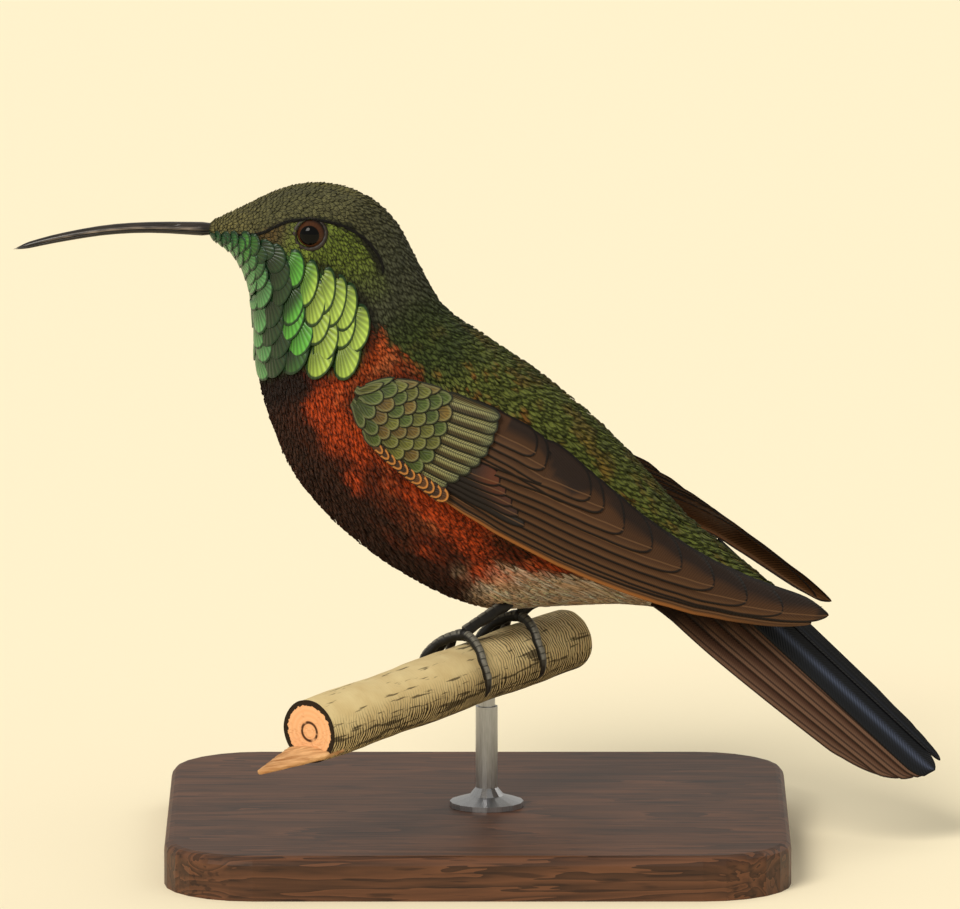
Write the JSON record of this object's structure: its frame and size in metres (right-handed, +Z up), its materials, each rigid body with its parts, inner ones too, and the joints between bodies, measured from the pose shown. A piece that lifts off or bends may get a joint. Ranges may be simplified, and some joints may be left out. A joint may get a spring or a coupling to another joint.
{
  "type": "perched hummingbird display model",
  "caption": "Life-size still model of a perched hummingbird with folded wings, its feet gripping a short cut branch held by a rod on a flat base.",
  "frame": {"origin": "on the floor, under the middle of the overall box, which is the middle of the stand's base", "axes": "+X from the bill towards the tail, +Y towards the bird's right side, +Z up"},
  "size_m": [0.126, 0.074, 0.0912],
  "materials": {
    "crown_feathers": "matte feathers",
    "mantle_feathers": "soft sheen feathers",
    "breast_feathers": "soft sheen feathers",
    "wing_coverts": "soft sheen feathers",
    "wing_feathers": "matte feathers",
    "tail_feathers": "matte feathers",
    "bill_horn": "smooth horn",
    "eye_dark": "wet gloss",
    "foot_scales": "scaled skin",
    "branch_wood": "dry bark",
    "stand_wood": "satin dark wood",
    "stand_steel": "satin"
  },
  "bodies": {
    "root": {"head": "crown_feathers", "neck": "mantle_feathers", "breast": "breast_feathers", "belly": "breast_feathers", "rump": "mantle_feathers", "bill_upper": "bill_horn", "bill_lower": "bill_horn", "eye_left": "eye_dark", "eye_right": "eye_dark", "wing_left_coverts": "wing_coverts", "wing_right_coverts": "wing_coverts", "wing_left_flight": "wing_feathers", "wing_right_flight": "wing_feathers", "tail_left": "tail_feathers", "tail_right": "tail_feathers", "leg_left": "foot_scales", "leg_right": "foot_scales", "foot_left": "foot_scales", "foot_right": "foot_scales", "perch_branch": "branch_wood", "stand_base": "stand_wood", "stand_rod": "stand_steel"}
  },
  "joints": []
}
